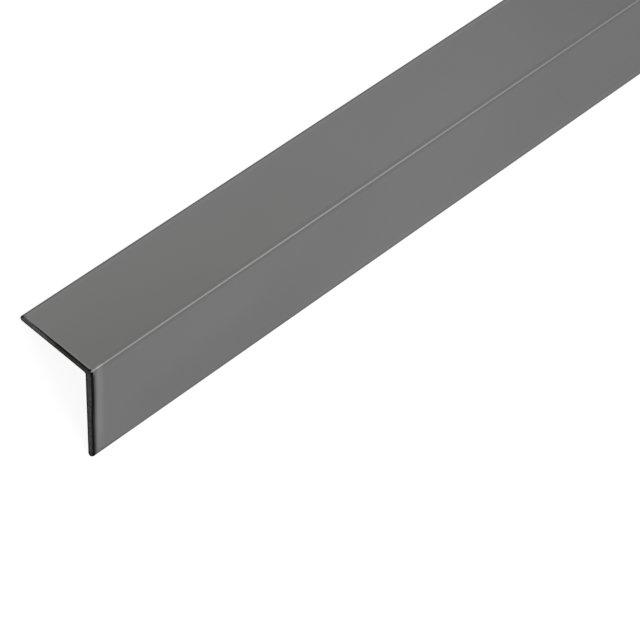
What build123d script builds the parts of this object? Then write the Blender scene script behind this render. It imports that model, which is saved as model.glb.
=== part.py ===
"""Unequal-leg metal angle section: one length of stock, lying on its two toes with the heel up.

X runs along the bar, Z is up and the origin is under the middle of the bar, on the floor.
The section is drawn in a plane of its own: x along the short leg and y along the long leg,
both from the outer corner of the heel.
"""

import os
from math import acos, atan2, cos, degrees, sin, sqrt

from build123d import *

# Driving dimensions, in millimetres.
length = 1000.0
long_leg = 25.0
short_leg = 20.0
thickness = 2.0
heel_radius = 0.4
root_radius = 0.3
toe_outer_radius = 3.0
toe_inner_radius = 0.6
end_bevel = 0.3

# A toe falls away from the outer face on its outer radius, which is larger than the wall, and runs
# into its inner radius where the two touch. That fixes how far the outer radius turns, and how far
# short of the leg's tip it starts.
toe_outer_turn = degrees(
    acos((toe_outer_radius - thickness + toe_inner_radius) / (toe_outer_radius - toe_inner_radius))
)
toe_inner_turn = 180 - toe_outer_turn
toe_start = toe_inner_radius + sqrt(
    (toe_outer_radius - toe_inner_radius) ** 2
    - (toe_outer_radius - thickness + toe_inner_radius) ** 2
)

# The floor line touches the inner radius of both toes, and that settles how far the bar leans.
short_leg_slope = atan2(long_leg - thickness, short_leg - thickness)
leaning_plane = Plane(
    origin=(0, 0, 0),
    x_dir=(0, cos(short_leg_slope), -sin(short_leg_slope)),
    z_dir=(-1, 0, 0),
)


def corner(sketch, x, y):
    """Return the corner of a sketch that lies nearest to a point of its plane."""
    return sketch.vertices().sort_by_distance((x, y, 0))[0]


# Section: walked round from the heel, out along the short leg and back along the long one.
with BuildSketch(leaning_plane) as section:
    with BuildLine():
        short_outer = Line((0, 0), (short_leg - toe_start, 0))
        short_round = JernArc(short_outer @ 1, short_outer % 1, toe_outer_radius, toe_outer_turn)
        short_tip = JernArc(short_round @ 1, short_round % 1, toe_inner_radius, toe_inner_turn)
        inner = Polyline(
            short_tip @ 1,
            (thickness, thickness),
            (thickness, long_leg - toe_inner_radius),
        )
        long_tip = JernArc(inner @ 1, inner % 1, toe_inner_radius, toe_inner_turn)
        long_round = JernArc(long_tip @ 1, long_tip % 1, toe_outer_radius, toe_outer_turn)
        Line(long_round @ 1, (0, 0))
    make_face()
    fillet(corner(section, 0, 0), heel_radius)
    fillet(corner(section, thickness, thickness), root_radius)

# The leaning section's own reach to each side and down to the floor places the heel.
reach = section.sketch.bounding_box()
heel_offset = -(reach.min.Y + reach.max.Y) / 2
heel_height = -reach.min.Z
far_end_plane = Plane(
    origin=(length / 2, heel_offset, heel_height),
    x_dir=leaning_plane.x_dir,
    z_dir=leaning_plane.z_dir,
)

# Angle section: the two legs share the heel, and run the whole length of the bar.
with BuildPart() as angle_section:
    with BuildSketch(far_end_plane):
        add(section.sketch_local)
    extrude(amount=length)

    # The saw leaves a burr at each end, and it is dressed off all round as a small bevel.
    cut_ends = angle_section.faces().filter_by(Axis.X)
    chamfer(cut_ends.edges(), end_bevel)

angle_section.part.label = "angle_section"

os.makedirs("parts", exist_ok=True)
export_step(angle_section.part, "parts/angle_section.step")

box = angle_section.part.bounding_box()
print("toe turn", round(toe_outer_turn, 3), "degrees, starting", round(toe_start, 3), "from the tip")
print("short leg slope", round(degrees(short_leg_slope), 3), "degrees below level")
print("heel height", round(heel_height, 4), "heel offset", round(heel_offset, 4))
print("box", box.min, box.max, "volume", round(angle_section.part.volume, 1))
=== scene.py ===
"""Looks of an unequal-leg metal angle section, built round its packed construction.

One bar of drawn stock lies on its two toes with the heel up. Its section is walked round with
runs and arcs, drawn out to the bar's length and dressed at both cut ends, and it stands for the
plain solid of the frame. Lengths are in metres: X runs along the bar and Z is up.
"""

from __future__ import annotations

import logging
import math
from collections.abc import Sequence
from dataclasses import dataclass, field
from enum import Enum, IntEnum
from typing import Protocol

import bmesh
import bpy
from mathutils import Matrix, Quaternion, Vector

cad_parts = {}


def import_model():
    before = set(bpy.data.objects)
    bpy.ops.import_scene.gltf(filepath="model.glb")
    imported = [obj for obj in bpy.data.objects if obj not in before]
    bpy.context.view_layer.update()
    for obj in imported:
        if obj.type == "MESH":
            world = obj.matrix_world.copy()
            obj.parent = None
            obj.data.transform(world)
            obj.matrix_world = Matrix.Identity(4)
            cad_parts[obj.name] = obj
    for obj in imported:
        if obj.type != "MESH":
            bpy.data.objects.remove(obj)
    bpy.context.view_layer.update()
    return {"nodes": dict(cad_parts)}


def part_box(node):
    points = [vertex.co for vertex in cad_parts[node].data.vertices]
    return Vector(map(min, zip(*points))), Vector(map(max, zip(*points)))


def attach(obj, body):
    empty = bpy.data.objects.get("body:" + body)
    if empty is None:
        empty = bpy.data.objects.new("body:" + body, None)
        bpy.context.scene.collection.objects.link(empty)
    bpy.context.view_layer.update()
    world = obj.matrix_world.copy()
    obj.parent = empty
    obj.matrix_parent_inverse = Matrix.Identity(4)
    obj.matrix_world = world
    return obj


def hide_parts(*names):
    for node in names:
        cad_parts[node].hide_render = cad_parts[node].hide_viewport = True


log = logging.getLogger("angle_section")

NODE = "angle_section"
BODY = "root"
# The name of the bar's own map, onto which its finishes can be baked.
BAKE_MAP = "OFBake"
MM = 0.001

Socket = bpy.types.NodeSocket
Value = float | Sequence[float] | Socket
Place = tuple[float, float, float]
Colour = tuple[float, float, float, float]
Range = tuple[float, float]

RISE: Range = (0.0, 1.0)
FALL: Range = (1.0, 0.0)


class Surface(IntEnum):
    """The bar's surfaces, in the order of its material slots."""

    FACE = 0
    END = 1
    ARRIS = 2


class Way(Enum):
    """The ways in which a place on the bar is measured.

    A place lies so far out along the short leg and so far out along the long one, both from the
    outer corner of the heel. The larger of the two is its way from the heel, and the lesser its
    depth below the outer faces. The last way is in from the nearer cut end.
    """

    OUT_SHORT = "Out Short"
    OUT_LONG = "Out Long"
    FROM_HEEL = "From Heel"
    DEPTH = "Depth"
    FROM_CUT = "From Cut"


# ---------------------------------------------------------------------------
# Wiring of node trees
# ---------------------------------------------------------------------------


@dataclass
class Wiring:
    """A node tree being wired up.

    Args:
        tree: The tree that takes the nodes.
    """

    tree: bpy.types.NodeTree

    def feed(self, socket: Socket, value: Value) -> None:
        """Feed an input.

        Args:
            socket: The input.
            value: The constant that it is set to, or the output that it is linked to.
        """
        if isinstance(value, bpy.types.NodeSocket):
            self.tree.links.new(value, socket)
        else:
            socket.default_value = value

    def node(self, kind: str, inputs: dict[str | int, Value], **options: object) -> bpy.types.Node:
        """Add a node.

        Args:
            kind: Blender's name for the kind of node.
            inputs: A constant or a feeding output for each named or numbered input.
            options: Settings of the node itself.

        Returns:
            The new node.
        """
        made = self.tree.nodes.new(kind)
        for name, option in options.items():
            setattr(made, name, option)
        for name, value in inputs.items():
            self.feed(made.inputs[name], value)
        return made

    def math(self, operation: str, *values: Value, clamp: bool = False) -> Socket:
        """Return the result of a Math node over one to three values."""
        inputs = dict(enumerate(values))
        return self.node("ShaderNodeMath", inputs, operation=operation, use_clamp=clamp).outputs[0]

    def vector(self, operation: str, *values: Value) -> Socket:
        """Return the result of a Vector Math node, which is a number for a length or a dot product."""
        made = self.node("ShaderNodeVectorMath", dict(enumerate(values)), operation=operation)
        return made.outputs["Value" if operation in ("LENGTH", "DOT_PRODUCT") else "Vector"]

    def noise(self, place: Socket, scale: Value, detail: float, roughness: float) -> Socket:
        """Return a noise between 0 and 1 that is read at a place."""
        inputs = {"Vector": place, "Scale": scale, "Detail": detail, "Roughness": roughness}
        return self.node("ShaderNodeTexNoise", inputs).outputs[0]

    def ranged(self, value: Value, span: tuple[Value, Value], onto: Range = RISE) -> Socket:
        """Move a value smoothly from one range to another, and hold it at the limits.

        Args:
            value: The value.
            span: The limits that it moves between.
            onto: What it is at those limits.

        Returns:
            The value in its new range.
        """
        inputs = {
            "Value": value,
            "From Min": span[0],
            "From Max": span[1],
            "To Min": onto[0],
            "To Max": onto[1],
        }
        made = self.node("ShaderNodeMapRange", inputs, interpolation_type="SMOOTHSTEP")
        return made.outputs["Result"]

    def stretched(self, place: Socket, along: Value, across: Value) -> Socket:
        """Count a place in steps of one size along the bar and another across it.

        Args:
            place: The place.
            along: Size of a step along the bar.
            across: Size of a step across it.

        Returns:
            The place in those steps.
        """
        parts = self.node("ShaderNodeSeparateXYZ", {"Vector": place}).outputs
        steps = {
            "X": self.math("DIVIDE", parts["X"], along),
            "Y": self.math("DIVIDE", parts["Y"], across),
            "Z": self.math("DIVIDE", parts["Z"], across),
        }
        return self.node("ShaderNodeCombineXYZ", steps).outputs["Vector"]

    def mixed(self, share: Value, first: Value, second: Value) -> Socket:
        """Mix two colours.

        Args:
            share: How far the mix lies from the first towards the second.
            first: The first colour.
            second: The second colour.

        Returns:
            The mixed colour.
        """
        made = self.node("ShaderNodeMix", {}, data_type="RGBA")
        colours = [socket for socket in made.inputs if socket.type == "RGBA"]
        self.feed(made.inputs["Factor"], share)
        self.feed(colours[0], first)
        self.feed(colours[1], second)
        return next(socket for socket in made.outputs if socket.type == "RGBA")

    def bump(self, height: Socket, depth: float) -> Socket:
        """Return the normals that a height of a given depth leaves."""
        inputs = {"Height": height, "Distance": depth, "Strength": 1.0}
        return self.node("ShaderNodeBump", inputs).outputs["Normal"]


class Effect:
    """A shader node group that is built once and placed in each finish with its own values."""

    name = ""
    inputs: dict[str, tuple[str, Value]] = {}
    outputs: tuple[str, ...] = ()

    def wire(self, wiring: Wiring, given: dict[str, Socket]) -> dict[str, Socket]:
        """Wire the effect inside its group, and return what feeds each of its outputs by name."""
        raise NotImplementedError

    def group(self) -> bpy.types.NodeTree:
        """Find the effect's node group, or make it on the first call.

        Returns:
            The node group.
        """
        made = bpy.data.node_groups.get(self.name)
        if made is not None:
            return made
        made = bpy.data.node_groups.new(self.name, "ShaderNodeTree")
        for name, (kind, default) in self.inputs.items():
            socket = made.interface.new_socket(name, in_out="INPUT", socket_type=kind)
            socket.default_value = default
        for name in self.outputs:
            made.interface.new_socket(name, in_out="OUTPUT", socket_type="NodeSocketFloat")
        wiring = Wiring(made)
        entry = made.nodes.new("NodeGroupInput")
        results = self.wire(wiring, {name: entry.outputs[name] for name in self.inputs})
        wiring.node("NodeGroupOutput", results)
        return made

    def place(self, wiring: Wiring, values: dict[str, Value]) -> dict[str, Socket]:
        """Place the effect in a material.

        Args:
            wiring: The material's tree.
            values: The effect's inputs by name.

        Returns:
            The effect's outputs by name.
        """
        made = wiring.tree.nodes.new("ShaderNodeGroup")
        made.node_tree = self.group()
        for name, value in values.items():
            wiring.feed(made.inputs[name], value)
        return {name: made.outputs[name] for name in self.outputs}


class DrawLines(Effect):
    """Fine lines that the die leaves along the bar."""

    name = "draw_lines"
    inputs = {
        "Place": ("NodeSocketVector", (0, 0, 0)),
        "Pitch": ("NodeSocketFloat", 0.3 * MM),
        "Run": ("NodeSocketFloat", 250 * MM),
    }
    outputs = ("Tone", "Height")
    detail = 3.0
    coarseness = 0.6
    spread: Range = (0.3, 0.7)

    def wire(self, wiring: Wiring, given: dict[str, Socket]) -> dict[str, Socket]:
        """Wire a noise that is drawn out along the bar.

        Args:
            wiring: The group's own tree.
            given: The group's inputs by name.

        Returns:
            The tone and the height of the lines.
        """
        place = wiring.stretched(given["Place"], given["Run"], given["Pitch"])
        lines = wiring.noise(place, 1.0, self.detail, self.coarseness)
        return {"Tone": wiring.ranged(lines, self.spread), "Height": lines}


class Mottle(Effect):
    """Soft patches of tone of a given size."""

    name = "mottle"
    inputs = {
        "Place": ("NodeSocketVector", (0, 0, 0)),
        "Size": ("NodeSocketFloat", 50 * MM),
    }
    outputs = ("Tone",)
    detail = 2.0
    coarseness = 0.5
    spread: Range = (0.25, 0.75)

    def wire(self, wiring: Wiring, given: dict[str, Socket]) -> dict[str, Socket]:
        """Wire one soft noise.

        Args:
            wiring: The group's own tree.
            given: The group's inputs by name.

        Returns:
            The tone of the patches.
        """
        scale = wiring.math("DIVIDE", 1.0, given["Size"])
        patches = wiring.noise(given["Place"], scale, self.detail, self.coarseness)
        return {"Tone": wiring.ranged(patches, self.spread)}


class SectionPlace(Effect):
    """Where a point lies on the bar: the ways out from its outer faces and in from its cut ends."""

    name = "section_place"
    inputs = {
        "Place": ("NodeSocketVector", (0, 0, 0)),
        "Heel": ("NodeSocketVector", (0, 0, 0)),
        "Short Way": ("NodeSocketVector", (0, 1, 0)),
        "Long Way": ("NodeSocketVector", (0, 0, -1)),
        "Half Length": ("NodeSocketFloat", 500 * MM),
    }
    outputs = tuple(way.value for way in Way)

    def wire(self, wiring: Wiring, given: dict[str, Socket]) -> dict[str, Socket]:
        """Wire the distances along both legs and along the bar.

        Args:
            wiring: The group's own tree.
            given: The group's inputs by name.

        Returns:
            The distance along each way.
        """
        from_heel = wiring.vector("SUBTRACT", given["Place"], given["Heel"])
        out_short = wiring.vector("DOT_PRODUCT", from_heel, given["Short Way"])
        out_long = wiring.vector("DOT_PRODUCT", from_heel, given["Long Way"])
        along = wiring.node("ShaderNodeSeparateXYZ", {"Vector": given["Place"]}).outputs["X"]
        ways = {
            Way.OUT_SHORT: out_short,
            Way.OUT_LONG: out_long,
            Way.FROM_HEEL: wiring.math("MAXIMUM", out_short, out_long),
            Way.DEPTH: wiring.math("MINIMUM", out_short, out_long),
            Way.FROM_CUT: wiring.math("SUBTRACT", given["Half Length"], wiring.math("ABSOLUTE", along)),
        }
        return {way.value: distance for way, distance in ways.items()}


class Band(Effect):
    """A mask that rises from one value to a second, holds to a third and has gone at a fourth."""

    name = "band"
    inputs = {
        "Value": ("NodeSocketFloat", 0.0),
        "Start": ("NodeSocketFloat", -1.0),
        "Full": ("NodeSocketFloat", -0.9),
        "Fade": ("NodeSocketFloat", 0.9),
        "Stop": ("NodeSocketFloat", 1.0),
    }
    outputs = ("Mask",)

    def wire(self, wiring: Wiring, given: dict[str, Socket]) -> dict[str, Socket]:
        """Wire the rise and the fall, and let the lesser of the two hold.

        Args:
            wiring: The group's own tree.
            given: The group's inputs by name.

        Returns:
            The mask.
        """
        rise = wiring.ranged(given["Value"], (given["Start"], given["Full"]))
        fall = wiring.ranged(given["Value"], (given["Fade"], given["Stop"]), FALL)
        return {"Mask": wiring.math("MINIMUM", rise, fall)}


DRAW_LINES = DrawLines()
MOTTLE = Mottle()
SECTION_PLACE = SectionPlace()
BAND = Band()


# ---------------------------------------------------------------------------
# Finishes
# ---------------------------------------------------------------------------


def grey(level: float, warmth: float = 0.0) -> Colour:
    """Return a grey whose blue falls short of its red by a share."""
    return (level, level, level * (1 - warmth), 1.0)


@dataclass(frozen=True)
class Section:
    """Where the section lies: the sharp corner of its heel and the ways that its legs go from it.

    Args:
        heel: The heel's sharp corner, halfway along the bar.
        short_way: The direction out along the short leg.
        long_way: The direction out along the long leg.
        half_length: Distance from the middle of the bar to its cut ends.
    """

    heel: Place
    short_way: Place
    long_way: Place
    half_length: float


@dataclass(frozen=True)
class Zone:
    """A zone of the bar's surface with soft limits, in millimetres.

    Args:
        way: The way that it is measured along.
        rise: Where it starts and where it is full, if it starts at all.
        fall: Where it starts to fade and where it has gone, if it ends at all.
        drift: Another zone, and how much further along these limits lie where that one is full.
    """

    way: Way
    rise: Range | None = None
    fall: Range | None = None
    drift: tuple[Zone, float] | None = None


@dataclass(frozen=True)
class Mark:
    """A mark on a finish: a colour of its own, where all its zones hold.

    Args:
        name: What it is, which labels its node.
        colour: Its colour.
        zones: The zones that it keeps to.
        share: How much of the colour shows.
        patches: Size in millimetres of the patches that break it up, or 0 where it is even.
    """

    name: str
    colour: Colour
    zones: tuple[Zone, ...] = ()
    share: float = 1.0
    patches: float = 0.0


class Finish(Protocol):
    """A finish that can be made a material."""

    def material(self, section: Section) -> bpy.types.Material:
        """Return the finish as a material for a bar whose section lies as given."""


@dataclass
class Coat:
    """A material being wired up for one finish of the bar.

    Args:
        name: The finish's name.
        section: Where the bar's section lies.
        masks: The masks of the zones that have been wired.
    """

    name: str
    section: Section
    masks: dict[Zone, Socket] = field(init=False, default_factory=dict)

    def __post_init__(self) -> None:
        """Start the material, with a place on the bar and the ways there."""
        self.material = bpy.data.materials.new(self.name)
        self.material.use_nodes = True
        nodes = self.material.node_tree.nodes
        self.wiring = Wiring(self.material.node_tree)
        self.shader = next(node for node in nodes if node.type == "BSDF_PRINCIPLED")
        self.place = self.wiring.node("ShaderNodeTexCoord", {}).outputs["Object"]
        values = {
            "Place": self.place,
            "Heel": self.section.heel,
            "Short Way": self.section.short_way,
            "Long Way": self.section.long_way,
            "Half Length": self.section.half_length,
        }
        self.ways = SECTION_PLACE.place(self.wiring, values)

    def mottle(self, size: float) -> Socket:
        """Return soft patches of tone of a size."""
        return MOTTLE.place(self.wiring, {"Place": self.place, "Size": size})["Tone"]

    def mask(self, zone: Zone) -> Socket:
        """Find a zone's mask, or wire it the first time.

        Args:
            zone: The zone.

        Returns:
            Its mask, which is 1 where the zone is full and 0 outside it.
        """
        if zone in self.masks:
            return self.masks[zone]
        value = self.ways[zone.way.value]
        if zone.drift is not None:
            other, shift = zone.drift
            value = self.wiring.math("MULTIPLY_ADD", self.mask(other), -shift * MM, value)
        rise = tuple(limit * MM for limit in zone.rise or ())
        fall = tuple(limit * MM for limit in zone.fall or ())
        if rise and fall:
            limits = dict(zip(("Start", "Full", "Fade", "Stop"), rise + fall))
            mask = BAND.place(self.wiring, {"Value": value, **limits})["Mask"]
        elif rise:
            mask = self.wiring.ranged(value, rise, RISE)
        else:
            mask = self.wiring.ranged(value, fall, FALL)
        self.masks[zone] = mask
        return mask

    def marked(self, colour: Value, marks: Sequence[Mark]) -> Socket:
        """Lay marks over a colour, one after the other.

        Args:
            colour: The colour of the finish.
            marks: The marks.

        Returns:
            The colour with the marks on it.
        """
        for mark in marks:
            masks = [self.mask(zone) for zone in mark.zones]
            if mark.patches:
                masks.append(self.mottle(mark.patches * MM))
            share: Value = mark.share
            for mask in masks:
                share = self.wiring.math("MULTIPLY", mask, share)
            colour = self.wiring.mixed(share, colour, mark.colour)
            colour.node.label = mark.name
        return colour

    def metal(
        self, colour: Value, roughness: Value, normal: Socket | None, edge_tint: float
    ) -> bpy.types.Material:
        """Dress the shader as bare metal.

        Args:
            colour: The metal's colour.
            roughness: Its roughness.
            normal: Its normals, if a relief moves them.
            edge_tint: How much of a mirror's grazing shine it keeps.

        Returns:
            The finished material.
        """
        self.wiring.feed(self.shader.inputs["Base Color"], colour)
        self.wiring.feed(self.shader.inputs["Roughness"], roughness)
        if normal is not None:
            self.wiring.feed(self.shader.inputs["Normal"], normal)
        self.shader.inputs["Metallic"].default_value = 1.0
        self.shader.inputs["Specular Tint"].default_value = grey(edge_tint)
        return self.material


SHORT_FACE = Zone(Way.OUT_LONG, fall=(0.4, 0.6))
LONG_FACE = Zone(Way.OUT_SHORT, fall=(0.4, 0.6))
SHORT_TOE_EDGE = Zone(Way.OUT_SHORT, rise=(17.8, 18.7), fall=(19.0, 19.2))
LONG_TOE_EDGE = Zone(Way.OUT_LONG, rise=(22.7, 23.1))
DULL_STRETCH = Zone(Way.FROM_CUT, rise=(120.0, 150.0), fall=(200.0, 260.0))
TO_LONG_TOE = Zone(Way.OUT_LONG, rise=(6.0, 16.0))
TO_SHORT_TOE = Zone(Way.OUT_SHORT, rise=(8.5, 10.5))
ALONG_SHORT_LEG = Zone(Way.OUT_SHORT, rise=(4.0, 6.5), fall=(9.5, 12.0))

# Duller grey of the face, also used as painted shade beside and along the heel's rounding.
FACE_DULL_AND_SHADE = grey(0.15)
# Painted highlight along the rounding of each toe.
TOE_HIGHLIGHT = grey(0.22)
TOE_SHADE = grey(0.093)
# Painted highlight beside the cut ends.
CUT_GLINT = grey(0.25)
# Black of the end's pits, also used as painted shade at its rims and towards the long toe.
BLACK_PITS_AND_SHADE = grey(0.004)
# Lighter grey where the bevel's painted shade eases, towards the short toe.
ARRIS_LIGHTER = grey(0.12)
ARRIS_AT_FACE = grey(0.20)


@dataclass(frozen=True)
class SatinFace:
    """Drawn faces of the legs: satin dark grey, with fine lines along the bar and soft patches.

    Painted shade and painted highlights lie beside and along the heel, at the toes and by the cuts,
    with duller stretches and a warm tint by the cuts.

    Args:
        dark: The darkest grey of the open face.
        light: Its lightest grey.
        roughness: Roughness of the darkest and of the lightest draw lines.
        edge_tint: How much of a mirror's grazing shine the face keeps.
        line_pitch: Distance from one draw line to the next.
        line_run: Length over which a draw line changes.
        line_depth: Depth of the draw lines.
        line_share: Share of the draw lines in the grey.
        patch_size: Size of the soft patches.
        patch_share: Their share in the grey.
        cloud_size: Size of the broad clouds.
        cloud_share: Their share in the grey.
        marks: Duller stretches, a warm tint by the cuts, and painted shade and painted highlights at
            the heel, the toes and the cuts.
    """

    dark: Colour = grey(0.166)
    light: Colour = grey(0.196)
    roughness: Range = (0.38, 0.44)
    edge_tint: float = 0.68
    line_pitch: float = 0.3 * MM
    line_run: float = 250 * MM
    line_depth: float = 0.002 * MM
    line_share: float = 0.2
    patch_size: float = 35 * MM
    patch_share: float = 0.3
    cloud_size: float = 180 * MM
    cloud_share: float = 0.5
    marks: tuple[Mark, ...] = (
        Mark("dull_stretch", FACE_DULL_AND_SHADE, (DULL_STRETCH,), share=0.25),
        Mark("dull_short_leg", FACE_DULL_AND_SHADE, (DULL_STRETCH, SHORT_FACE), share=0.33),
        # Painted shade in a band beside the heel's rounding, on both faces.
        Mark(
            "shade_beside_heel",
            FACE_DULL_AND_SHADE,
            (Zone(Way.FROM_HEEL, rise=(0.3, 0.5), fall=(0.7, 1.3)),),
            share=0.6,
        ),
        # Painted shade on the heel's rounding, which dims its highlight further from the cut.
        Mark(
            "shade_on_heel",
            FACE_DULL_AND_SHADE,
            (
                Zone(Way.FROM_HEEL, fall=(0.3, 0.5)),
                Zone(Way.FROM_CUT, rise=(30.0, 120.0)),
            ),
            share=0.6,
        ),
        Mark(
            "dull_long_toe",
            FACE_DULL_AND_SHADE,
            (
                Zone(Way.OUT_LONG, rise=(8.0, 20.0)),
                Zone(Way.FROM_CUT, rise=(5.0, 16.0), fall=(48.0, 62.0)),
                LONG_FACE,
            ),
            share=0.3,
        ),
        # Painted highlight along the short toe's rounding.
        Mark("highlight_short_toe", TOE_HIGHLIGHT, (SHORT_TOE_EDGE, SHORT_FACE), share=0.45),
        # Painted highlight along the long toe's rounding, away from the cuts.
        Mark(
            "highlight_long_toe",
            TOE_HIGHLIGHT,
            (
                Zone(Way.OUT_LONG, rise=(21.7, 22.3), fall=(22.7, 22.9)),
                Zone(Way.FROM_CUT, rise=(45.0, 75.0)),
                LONG_FACE,
            ),
            share=0.25,
        ),
        # Painted shade on the underside of the short toe's rounding.
        Mark(
            "shade_under_short_toe",
            grey(0.07),
            (
                Zone(Way.OUT_SHORT, rise=(18.0, 18.5)),
                Zone(Way.OUT_LONG, rise=(0.3, 0.5)),
            ),
        ),
        Mark(
            "under_long_toe",
            TOE_SHADE,
            (
                Zone(Way.OUT_LONG, rise=(22.85, 23.5)),
                Zone(Way.OUT_SHORT, rise=(0.0, 0.15)),
            ),
        ),
        Mark("long_toe", TOE_SHADE, (LONG_TOE_EDGE,), share=0.3),
        Mark(
            "long_toe_by_cut",
            TOE_SHADE,
            (LONG_TOE_EDGE, Zone(Way.FROM_CUT, fall=(2.0, 9.0))),
            share=0.62,
        ),
        Mark(
            "warm_by_cut",
            grey(0.158, warmth=0.05),
            (
                Zone(Way.FROM_CUT, fall=(0.0, 85.0)),
                Zone(Way.OUT_SHORT, fall=(0.0, 28.0)),
                SHORT_FACE,
            ),
            share=0.75,
        ),
        # Painted highlight: a lighter strip on the long leg's face beside the cut.
        Mark(
            "glint_long_leg",
            CUT_GLINT,
            (
                Zone(Way.FROM_CUT, rise=(0.9, 1.4), fall=(1.8, 3.1), drift=(TO_LONG_TOE, -0.22)),
                Zone(Way.OUT_LONG, fall=(16.0, 24.0)),
                LONG_FACE,
            ),
            share=0.55,
        ),
        # Painted highlight: a broken light line along the burr beside the cut on the short leg.
        Mark(
            "burr_glint_short_leg",
            CUT_GLINT,
            (
                Zone(Way.FROM_CUT, fall=(0.35, 0.5)),
                Zone(Way.OUT_SHORT, fall=(9.0, 13.0)),
                SHORT_FACE,
            ),
            patches=1.5,
        ),
        # Painted shade in a dark band on the long leg's face beside the cut.
        Mark(
            "shade_by_cut",
            grey(0.01),
            (
                Zone(Way.FROM_CUT, fall=(0.1, 1.15), drift=(TO_LONG_TOE, -0.22)),
                Zone(Way.OUT_LONG, rise=(0.2, 2.0)),
                LONG_FACE,
            ),
        ),
    )

    def material(self, section: Section) -> bpy.types.Material:
        """Make the finish a material.

        Args:
            section: Where the bar's section lies.

        Returns:
            The material.
        """
        coat = Coat("satin_face", section)
        wiring = coat.wiring
        values = {"Place": coat.place, "Pitch": self.line_pitch, "Run": self.line_run}
        lines = DRAW_LINES.place(wiring, values)
        tone = wiring.math("MULTIPLY", lines["Tone"], self.line_share)
        tone = wiring.math("MULTIPLY_ADD", coat.mottle(self.patch_size), self.patch_share, tone)
        tone = wiring.math("MULTIPLY_ADD", coat.mottle(self.cloud_size), self.cloud_share, tone)
        colour = coat.marked(wiring.mixed(tone, self.dark, self.light), self.marks)
        roughness = wiring.ranged(lines["Tone"], RISE, self.roughness)
        relief = wiring.bump(lines["Height"], self.line_depth)
        return coat.metal(colour, roughness, relief, self.edge_tint)


@dataclass(frozen=True)
class SawnEnd:
    """Sawn ends: dark and pitted, with the curved marks of a saw blade. Their dark greys are partly the
    sawn steel and partly painted shade, and their nearly black rims are painted shade.

    Args:
        at_heel: Grey of the short leg by the heel, partly painted shade.
        roughness: Roughness in the saw's grooves and between them.
        edge_tint: How much of a mirror's grazing shine the end keeps.
        blade_radius: Radius of the saw blade.
        groove_pitch: Distance from one groove to the next.
        groove_depth: Depth of the grooves.
        groove_detail: How finely the grooves are broken up.
        groove_spread: The range that most of the grooves' heights keep to.
        marks: The end's other greys and its rims, all with painted shade, and its pits.
    """

    at_heel: Colour = grey(0.037, warmth=0.08)
    roughness: Range = (0.42, 0.6)
    edge_tint: float = 0.6
    blade_radius: float = 150 * MM
    groove_pitch: float = 0.35 * MM
    groove_depth: float = 0.02 * MM
    groove_detail: float = 2.0
    groove_spread: Range = (0.3, 0.7)
    marks: tuple[Mark, ...] = (
        # Greys of the end towards the short toe and on the long leg, partly painted shade.
        Mark("short_toe", grey(0.11), (Zone(Way.OUT_SHORT, rise=(8.0, 15.0)),)),
        Mark("long_leg", grey(0.074), (Zone(Way.OUT_LONG, rise=(1.1, 2.2)),)),
        # Painted shade on the end towards the long toe.
        Mark("long_toe", BLACK_PITS_AND_SHADE, (Zone(Way.OUT_LONG, rise=(22.3, 24.3)),), share=0.7),
        # Painted shade along the end's inner rim.
        Mark("inner_rim_shade", BLACK_PITS_AND_SHADE, (Zone(Way.DEPTH, rise=(1.3, 1.6)),), share=0.85),
        # Painted shade along the end's outer rims.
        Mark(
            "outer_rim_shade_short_leg",
            BLACK_PITS_AND_SHADE,
            (
                Zone(Way.OUT_LONG, fall=(0.35, 0.6), drift=(ALONG_SHORT_LEG, 0.2)),
                Zone(Way.OUT_SHORT, fall=(14.5, 17.3)),
            ),
        ),
        Mark(
            "outer_rim_shade_long_leg",
            BLACK_PITS_AND_SHADE,
            (Zone(Way.OUT_SHORT, fall=(0.28, 0.48), drift=(TO_LONG_TOE, 0.3)),),
        ),
        Mark("pits", BLACK_PITS_AND_SHADE, share=0.6, patches=0.6),
    )

    def grooves(self, coat: Coat) -> Socket:
        """Wire the grooves, which all lie round the centre of the blade.

        Args:
            coat: The finish under way.

        Returns:
            The height of the grooves.
        """
        wiring = coat.wiring
        from_centre = wiring.vector("ADD", coat.place, (0, 0, self.blade_radius))
        radius = wiring.vector("LENGTH", wiring.vector("MULTIPLY", from_centre, (0, 1, 1)))
        inputs = {
            "W": wiring.math("DIVIDE", radius, self.groove_pitch),
            "Scale": 1.0,
            "Detail": self.groove_detail,
        }
        return wiring.node("ShaderNodeTexNoise", inputs, noise_dimensions="1D").outputs[0]

    def material(self, section: Section) -> bpy.types.Material:
        """Make the finish a material.

        Args:
            section: Where the bar's section lies.

        Returns:
            The material.
        """
        coat = Coat("sawn_end", section)
        grooves = self.grooves(coat)
        colour = coat.marked(self.at_heel, self.marks)
        roughness = coat.wiring.ranged(grooves, self.groove_spread, self.roughness)
        relief = coat.wiring.bump(grooves, self.groove_depth)
        return coat.metal(colour, roughness, relief, self.edge_tint)


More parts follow.
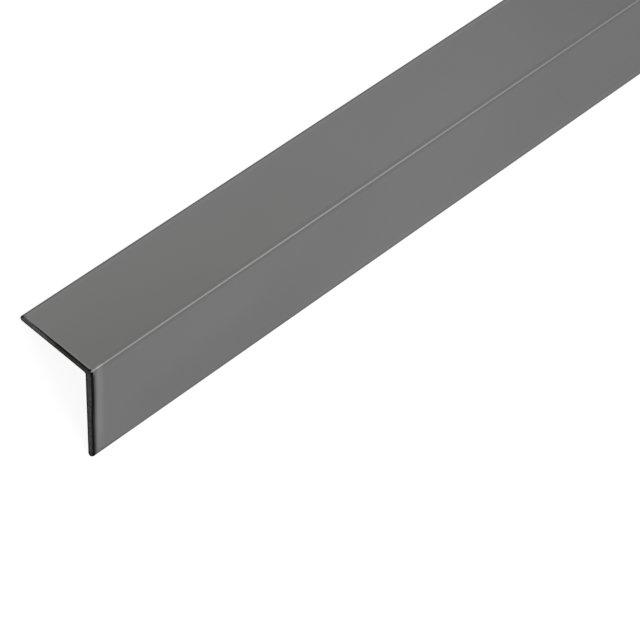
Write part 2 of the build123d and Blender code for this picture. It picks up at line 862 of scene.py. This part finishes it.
@dataclass(frozen=True)
class DressedArris:
    """Bevel that the file leaves round both cut ends: nearly black with painted shade, and lighter in
    places.

    Args:
        dark: The bevel's darkest grey, which is painted shade.
        light: Its lightest grey outside its lighter places, also painted shade.
        roughness: Roughness of its darkest and of its lightest patches.
        edge_tint: How much of a mirror's grazing shine it keeps.
        patch_size: Size of its patches.
        marks: Where it is lighter.
    """

    dark: Colour = grey(0.003, warmth=0.2)
    light: Colour = grey(0.008, warmth=0.2)
    roughness: Range = (0.45, 0.6)
    edge_tint: float = 0.1
    patch_size: float = 3 * MM
    marks: tuple[Mark, ...] = (
        # Lighter painted shade on the long leg's bevel.
        Mark("long_leg", grey(0.019, warmth=0.1), (Zone(Way.OUT_LONG, rise=(0.6, 1.6)),), share=0.8),
        Mark(
            "lighter_short_toe",
            ARRIS_LIGHTER,
            (
                Zone(Way.OUT_LONG, fall=(0.4, 0.8)),
                Zone(Way.OUT_SHORT, rise=(14.5, 17.3), fall=(18.4, 19.6)),
            ),
        ),
        Mark("short_tip", ARRIS_LIGHTER, (Zone(Way.OUT_SHORT, rise=(18.6, 19.6)),), share=0.25),
        Mark(
            "short_face",
            ARRIS_AT_FACE,
            (
                Zone(Way.OUT_LONG, fall=(0.03, 0.13), drift=(TO_SHORT_TOE, 0.04)),
                Zone(Way.OUT_SHORT, rise=(0.5, 1.0)),
            ),
        ),
        Mark(
            "long_face",
            ARRIS_AT_FACE,
            (
                Zone(Way.OUT_SHORT, fall=(0.03, 0.13)),
                Zone(Way.OUT_LONG, rise=(8.0, 16.0)),
            ),
            share=0.26,
        ),
        Mark("heel", ARRIS_AT_FACE, (Zone(Way.FROM_HEEL, fall=(0.3, 0.45)),)),
    )

    def material(self, section: Section) -> bpy.types.Material:
        """Make the finish a material.

        Args:
            section: Where the bar's section lies.

        Returns:
            The material.
        """
        coat = Coat("dressed_arris", section)
        patches = coat.mottle(self.patch_size)
        colour = coat.marked(coat.wiring.mixed(patches, self.dark, self.light), self.marks)
        roughness = coat.wiring.ranged(patches, RISE, self.roughness)
        return coat.metal(colour, roughness, None, self.edge_tint)


# ---------------------------------------------------------------------------
# The bar
# ---------------------------------------------------------------------------


@dataclass
class Outline:
    """A line walked round a section, each stretch going on from where the last one stopped.

    Args:
        mesh: The mesh that takes the line.
        tip: The point that the line has reached.
    """

    mesh: bmesh.types.BMesh
    tip: bmesh.types.BMVert

    def run(self, x: float, y: float) -> None:
        """Go straight to a point of the section's plane.

        Args:
            x: The point's place along the short leg.
            y: Its place along the long leg.
        """
        made = bmesh.ops.extrude_vert_indiv(self.mesh, verts=[self.tip])
        self.tip = made["verts"][0]
        self.tip.co = (x, y, 0)

    def turn(self, x: float, y: float, angle: float, steps: int) -> None:
        """Go round a centre in equal steps.

        Args:
            x: The centre's place along the short leg.
            y: Its place along the long leg.
            angle: How far to go round, anticlockwise.
            steps: The number of steps.
        """
        made = bmesh.ops.spin(
            self.mesh,
            geom=[self.tip],
            cent=(x, y, 0),
            axis=(0, 0, 1),
            angle=angle,
            steps=steps,
            use_merge=False,
        )
        self.tip = next(item for item in made["geom_last"] if isinstance(item, bmesh.types.BMVert))


@dataclass(frozen=True)
class Stretch:
    """One straight stretch of the section's outline.

    Args:
        start: Where it starts.
        end: Where it ends.
        way_before: The way round the section that has gone before it.
    """

    start: Vector
    end: Vector
    way_before: float

    def nearest(self, place: Vector) -> tuple[float, float]:
        """Find the stretch's nearest point to a place.

        Args:
            place: The place.

        Returns:
            How far off the place is, and the way round the section to the nearest point.
        """
        step = self.end - self.start
        share = min(max((place - self.start).dot(step) / step.dot(step), 0.0), 1.0)
        gap = (self.start + step * share - place).length
        return gap, self.way_before + step.length * share


@dataclass(frozen=True)
class MapLayout:
    """How the bar's surface is laid out flat.

    The way round the section goes up the map and the way along the bar goes across it, with each
    end zone drawn wider than the rest. The cut ends lie side by side below.

    Args:
        end_zone: Length of each end zone along the bar.
        end_zone_width: Its width on the map.
        margin: Gap along the borders of the map.
        strip_bottom: Height on the map where the way round the section starts.
        cut_end_scale: Size on the map of each metre of a cut end.
        near_end_middle: Place across the map of the near cut end.
        far_end_middle: Place across the map of the far one.
    """

    end_zone: float = 6 * MM
    end_zone_width: float = 0.155
    margin: float = 0.004
    strip_bottom: float = 0.215
    cut_end_scale: float = 11.5
    near_end_middle: float = 0.75
    far_end_middle: float = 0.25

    def across(self, x: float, half_length: float) -> float:
        """Find a place along the bar on the map.

        Args:
            x: The place along the bar, from its middle.
            half_length: Distance from the bar's middle to its cut ends.

        Returns:
            The place across the map.
        """
        from_cut = half_length - abs(x)
        if from_cut < self.end_zone:
            width = from_cut / self.end_zone * self.end_zone_width
        else:
            rest = (from_cut - self.end_zone) / (half_length - self.end_zone)
            width = self.end_zone_width + rest * (0.5 - self.margin - self.end_zone_width)
        return self.margin + width if x > 0 else 1 - self.margin - width

    def up(self, way: float, girth: float) -> float:
        """Return the place up the map of a way round the section."""
        return self.strip_bottom + way / girth * (1 - self.margin - self.strip_bottom)

    def on_cut_end(self, y: float, z: float, near: bool) -> tuple[float, float]:
        """Find a point of a cut end on the map.

        Args:
            y: The point's place across the bar.
            z: Its height.
            near: Whether it is on the near cut end.

        Returns:
            The place on the map.
        """
        sideways = y * self.cut_end_scale
        up = 2 * self.margin + z * self.cut_end_scale
        return (self.near_end_middle - sideways if near else self.far_end_middle + sideways, up)


# A face that looks this squarely along the bar is one of its cut ends.
SQUARE_TO_BAR = 0.99


@dataclass
class AngleBar:
    """The bar, from its section's own sizes and the length of its place in the frame.

    Args:
        length: The bar's length.
        long_leg: Outside width of the long leg.
        short_leg: Outside width of the short leg.
        thickness: The wall of both legs.
        heel_radius: Radius of the outer corner between the legs.
        root_radius: Radius of the inner corner.
        toe_outer_radius: Radius on which a toe falls away from the outer face.
        toe_inner_radius: Radius on which it comes round to the inner face.
        end_bevel: Width of the bevel round the cut ends.
        bay: Length of the bays that the bar is divided into.
        corner_steps: Steps round the heel and the root.
        toe_steps: Steps round each of a toe's two radii.
        bevel_steps: Steps across the bevel.
        weld: Distance within which points of the outline are one.
        layout: How the surface is laid out flat.
        section: Where the section lies.
        stretches: The straight stretches of the section's outline.
        girth: The whole way round the section.
    """

    length: float
    long_leg: float = 25 * MM
    short_leg: float = 20 * MM
    thickness: float = 2 * MM
    heel_radius: float = 0.4 * MM
    root_radius: float = 0.3 * MM
    toe_outer_radius: float = 3 * MM
    toe_inner_radius: float = 0.6 * MM
    end_bevel: float = 0.3 * MM
    bay: float = 25 * MM
    corner_steps: int = 12
    toe_steps: int = 18
    bevel_steps: int = 4
    weld: float = 0.001 * MM
    layout: MapLayout = field(default_factory=MapLayout)
    section: Section = field(init=False)
    stretches: list[Stretch] = field(init=False)
    girth: float = field(init=False)

    def outline(self, mesh: bmesh.types.BMesh) -> None:
        """Walk round the section from the heel, out along the short leg and back along the long one.

        A toe's outer radius is larger than the wall, and runs into its inner radius where the two
        touch. That fixes how far the outer one turns, and how far short of the tip it starts.

        Args:
            mesh: The mesh that takes the outline.
        """
        inner = self.toe_inner_radius
        outer = self.toe_outer_radius
        wall = self.thickness
        root = wall + self.root_radius
        overlap = outer - wall + inner
        outer_turn = math.acos(overlap / (outer - inner))
        inner_turn = math.pi - outer_turn
        toe_start = inner + math.sqrt((outer - inner) ** 2 - overlap**2)

        line = Outline(mesh, bmesh.ops.create_vert(mesh, co=(self.heel_radius, 0, 0))["vert"][0])
        line.run(self.short_leg - toe_start, 0)
        line.turn(self.short_leg - toe_start, outer, outer_turn, self.toe_steps)
        line.turn(self.short_leg - inner, wall - inner, inner_turn, self.toe_steps)
        line.run(root, wall)
        line.turn(root, root, -math.pi / 2, self.corner_steps)
        line.run(wall, self.long_leg - inner)
        line.turn(wall - inner, self.long_leg - inner, inner_turn, self.toe_steps)
        line.turn(outer, self.long_leg - toe_start, outer_turn, self.toe_steps)
        line.run(0, self.heel_radius)
        line.turn(self.heel_radius, self.heel_radius, math.pi / 2, self.corner_steps)
        bmesh.ops.remove_doubles(mesh, verts=mesh.verts, dist=self.weld)

    def lean(self, mesh: bmesh.types.BMesh) -> None:
        """Lay the section on its two toes at the far end of the bar, and note where it lies.

        Args:
            mesh: The mesh that holds the section.
        """
        slope = math.atan2(self.long_leg - self.thickness, self.short_leg - self.thickness)
        short_way = Vector((0, math.cos(slope), -math.sin(slope)))
        long_way = Vector((0, -math.sin(slope), -math.cos(slope)))
        turn = Matrix((short_way, long_way, Vector((-1, 0, 0)))).transposed().to_4x4()
        bmesh.ops.transform(mesh, matrix=turn, verts=mesh.verts)
        sides = [vert.co.y for vert in mesh.verts]
        floor = min(vert.co.z for vert in mesh.verts)
        place = Vector((self.length / 2, -(min(sides) + max(sides)) / 2, -floor))
        bmesh.ops.translate(mesh, vec=place, verts=mesh.verts)
        heel = (0.0, place.y, place.z)
        self.section = Section(heel, tuple(short_way), tuple(long_way), self.length / 2)

    def walk_round(self, section: bmesh.types.BMFace) -> None:
        """Note each stretch of the outline, from the root on, with the way gone before it.

        Args:
            section: The leant section.
        """
        loops = list(section.loops)
        to_root = (Vector(self.section.short_way) + Vector(self.section.long_way)) * self.thickness
        root = (Vector(self.section.heel) + to_root).yz
        first = min(range(len(loops)), key=lambda step: (loops[step].vert.co.yz - root).length)
        self.stretches = []
        self.girth = 0.0
        for loop in loops[first:] + loops[:first]:
            stretch = Stretch(loop.vert.co.yz, loop.link_loop_next.vert.co.yz, self.girth)
            self.stretches.append(stretch)
            self.girth += loop.edge.calc_length()

    def way_at(self, place: Vector) -> float:
        """Return the way round to the point of the outline nearest to a place."""
        flat = place.yz
        return min(stretch.nearest(flat) for stretch in self.stretches)[1]

    def draw_out(self, mesh: bmesh.types.BMesh, section: bmesh.types.BMFace) -> None:
        """Draw the section out to the bar's length, in bays and with a line at each end zone.

        Args:
            mesh: The mesh that holds the section.
            section: The section.
        """
        made = bmesh.ops.extrude_face_region(mesh, geom=[section])["geom"]
        drawn = [item for item in made if isinstance(item, bmesh.types.BMVert)]
        bmesh.ops.translate(mesh, vec=(-self.length, 0, 0), verts=drawn)
        runs = [edge for edge in mesh.edges if edge.calc_length() > self.length / 2]
        bmesh.ops.subdivide_edges(mesh, edges=runs, cuts=round(self.length / self.bay) - 1)
        for side in (-1, 1):
            zone = side * (self.length / 2 - self.layout.end_zone)
            everything = mesh.verts[:] + mesh.edges[:] + mesh.faces[:]
            bmesh.ops.bisect_plane(mesh, geom=everything, plane_co=(zone, 0, 0), plane_no=(1, 0, 0))
        bmesh.ops.recalc_face_normals(mesh, faces=mesh.faces)

    def dress_ends(self, mesh: bmesh.types.BMesh) -> None:
        """Bevel both cut ends all round, and give each surface its material slot.

        Args:
            mesh: The bar's mesh.
        """
        ends = [face for face in mesh.faces if abs(face.normal.x) > SQUARE_TO_BAR]
        for face in ends:
            face.material_index = Surface.END
        rims = list({edge for face in ends for edge in face.edges})
        made = bmesh.ops.bevel(
            mesh,
            geom=rims,
            offset=self.end_bevel,
            offset_type="OFFSET",
            affect="EDGES",
            segments=self.bevel_steps,
            profile=0.5,
            material=-1,
        )
        for face in made["faces"]:
            face.material_index = Surface.ARRIS

    def lay_out(self, mesh: bmesh.types.BMesh) -> None:
        """Lay the surface out flat on its own map.

        A point where the way round starts is also where it ends, so each face takes the way that
        lies nearer to its own middle.

        Args:
            mesh: The bar's mesh.
        """
        flat = mesh.loops.layers.uv.new(BAKE_MAP)
        ways = {vert: self.way_at(vert.co) for vert in mesh.verts}
        for face in mesh.faces:
            here = self.way_at(face.calc_center_median())
            for loop in face.loops:
                place = loop.vert.co
                if face.material_index == Surface.END:
                    loop[flat].uv = self.layout.on_cut_end(place.y, place.z, place.x < 0)
                    continue
                way = ways[loop.vert]
                way += self.girth * round((here - way) / self.girth)
                across = self.layout.across(place.x, self.length / 2)
                loop[flat].uv = (across, self.layout.up(way, self.girth))

    def build(self, finishes: dict[Surface, Finish]) -> bpy.types.Object:
        """Build the bar and dress it.

        Args:
            finishes: The finish of each of its surfaces.

        Returns:
            The finished piece.
        """
        mesh = bmesh.new()
        self.outline(mesh)
        section = bmesh.ops.contextual_create(mesh, geom=mesh.edges[:])["faces"][0]
        self.lean(mesh)
        self.walk_round(section)
        self.draw_out(mesh, section)
        self.dress_ends(mesh)
        self.lay_out(mesh)
        for face in mesh.faces:
            face.smooth = True
        data = bpy.data.meshes.new("angle_bar")
        mesh.to_mesh(data)
        mesh.free()
        for surface in Surface:
            data.materials.append(finishes[surface].material(self.section))
        bar = bpy.data.objects.new("angle_bar", data)
        bpy.context.scene.collection.objects.link(bar)
        weighted = bar.modifiers.new("weighted_normals", "WEIGHTED_NORMAL")
        weighted.keep_sharp = True
        return bar


# ---------------------------------------------------------------------------
# The studio
# ---------------------------------------------------------------------------


def shown_directly(wiring: Wiring) -> Socket:
    """Wire a mask of the rays that show a surface, straight, in a reflection or through glass.

    Args:
        wiring: The material's or the world's tree.

    Returns:
        The mask.
    """
    paths = wiring.node("ShaderNodeLightPath", {}).outputs
    seen = wiring.math("ADD", paths["Is Camera Ray"], paths["Is Glossy Ray"], clamp=True)
    return wiring.math("ADD", seen, paths["Is Transmission Ray"], clamp=True)


@dataclass(frozen=True)
class Softbox:
    """A large soft lamp that faces down.

    Args:
        name: The lamp's name.
        place: Where it hangs.
        length: Its size along X.
        width: Its size along Y.
        brightness: How bright its face is.
    """

    name: str
    place: Place
    length: float
    width: float
    brightness: float

    def build(self) -> bpy.types.Object:
        """Hang the lamp, with the power that gives its face the brightness.

        Returns:
            The lamp.
        """
        data = bpy.data.lights.new(self.name, "AREA")
        data.shape = "RECTANGLE"
        data.size = self.length
        data.size_y = self.width
        data.energy = self.brightness * math.pi * self.length * self.width
        lamp = bpy.data.objects.new(self.name, data)
        lamp.location = self.place
        bpy.context.scene.collection.objects.link(lamp)
        return lamp


@dataclass(frozen=True)
class Studio:
    """A pale floor, a softbox overhead, a white surround and the camera.

    Args:
        floor_size: Side of the square floor.
        floor_colour: Its colour as the bar is lit by it.
        floor_shade: Its colour where it is seen, on which the bar's shadow falls.
        floor_glow: Brightness that is added where it is seen, so that it looks nearly white.
        surround: Brightness of the surround as the bar is lit by it.
        softbox: The lamp.
        aim: The point that the camera looks at.
        distance: Distance from there to the camera.
        azimuth: Way round to the camera in degrees, where 0 looks along +Y.
        elevation: Degrees by which the camera looks down.
        roll: Degrees by which it is turned about its own line of sight.
        lens: Its focal length in millimetres.
    """

    floor_size: float = 6.0
    floor_colour: Colour = grey(0.8)
    floor_shade: Colour = grey(0.2)
    floor_glow: float = 0.9
    surround: float = 0.55
    softbox: Softbox = Softbox("overhead_softbox", (0.1, 0.0, 1.5), 1.6, 1.6, 1.75)
    aim: Place = (-0.44139, -0.01938, 0.0)
    distance: float = 0.55412
    azimuth: float = -120.43
    elevation: float = 54.69
    roll: float = 90.55
    lens: float = 157.08

    def floor(self) -> bpy.types.Object:
        """Lay the floor under the bar.

        Returns:
            The floor.
        """
        mesh = bmesh.new()
        bmesh.ops.create_grid(mesh, x_segments=1, y_segments=1, size=self.floor_size / 2)
        data = bpy.data.meshes.new("floor")
        mesh.to_mesh(data)
        mesh.free()
        material = bpy.data.materials.new("pale_floor")
        material.use_nodes = True
        wiring = Wiring(material.node_tree)
        material.node_tree.nodes.clear()
        plain = wiring.node("ShaderNodeBsdfDiffuse", {"Color": self.floor_colour}).outputs[0]
        shade = wiring.node("ShaderNodeBsdfDiffuse", {"Color": self.floor_shade}).outputs[0]
        glow = wiring.node("ShaderNodeEmission", {"Strength": self.floor_glow}).outputs[0]
        shown = wiring.node("ShaderNodeAddShader", {0: shade, 1: glow}).outputs[0]
        mixed = wiring.node("ShaderNodeMixShader", {0: shown_directly(wiring), 1: plain, 2: shown})
        wiring.node("ShaderNodeOutputMaterial", {"Surface": mixed.outputs[0]})
        data.materials.append(material)
        floor = bpy.data.objects.new("floor", data)
        bpy.context.scene.collection.objects.link(floor)
        return floor

    def surroundings(self) -> bpy.types.World:
        """Make the white surround, which lights the bar softly from all sides.

        Returns:
            The world that holds it.
        """
        world = bpy.data.worlds.new("white_surround")
        world.use_nodes = True
        wiring = Wiring(world.node_tree)
        world.node_tree.nodes.clear()
        light = wiring.node("ShaderNodeBackground", {"Color": (1, 1, 1, 1), "Strength": self.surround})
        white = wiring.node("ShaderNodeBackground", {"Color": (1, 1, 1, 1), "Strength": 1.0})
        shaders = {0: shown_directly(wiring), 1: light.outputs[0], 2: white.outputs[0]}
        mixed = wiring.node("ShaderNodeMixShader", shaders).outputs[0]
        wiring.node("ShaderNodeOutputWorld", {"Surface": mixed})
        bpy.context.scene.world = world
        return world

    def camera(self) -> bpy.types.Object:
        """Set the camera up round the point that it aims at.

        Returns:
            The camera.
        """
        azimuth = math.radians(self.azimuth)
        elevation = math.radians(self.elevation)
        back = Vector(
            (
                math.sin(azimuth) * math.cos(elevation),
                -math.cos(azimuth) * math.cos(elevation),
                math.sin(elevation),
            )
        )
        data = bpy.data.cameras.new("camera")
        data.lens = self.lens
        camera = bpy.data.objects.new("camera", data)
        camera.location = Vector(self.aim) + back * self.distance
        camera.rotation_mode = "QUATERNION"
        level = (-back).to_track_quat("-Z", "Y")
        camera.rotation_quaternion = level @ Quaternion((0, 0, 1), math.radians(self.roll))
        bpy.context.scene.collection.objects.link(camera)
        bpy.context.scene.camera = camera
        return camera

    def build(self) -> None:
        """Build the whole studio."""
        self.floor()
        self.surroundings()
        self.softbox.build()
        self.camera()
        bpy.context.scene.view_settings.view_transform = "Standard"


def main() -> None:
    """Build the bar and its studio."""
    logging.basicConfig(level=logging.INFO, format="%(name)s: %(message)s")
    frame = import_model()
    log.info("frame loaded: nodes %s", ", ".join(frame["nodes"]))

    low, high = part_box(NODE)
    bar = AngleBar(length=high.x - low.x)
    finishes = {
        Surface.FACE: SatinFace(),
        Surface.END: SawnEnd(),
        Surface.ARRIS: DressedArris(),
    }
    piece = bar.build(finishes)
    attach(piece, BODY)
    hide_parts(NODE)
    log.info("%s: %d faces, %.2f mm round", piece.name, len(piece.data.polygons), bar.girth / MM)

    Studio().build()


if __name__ == "__main__":
    main()
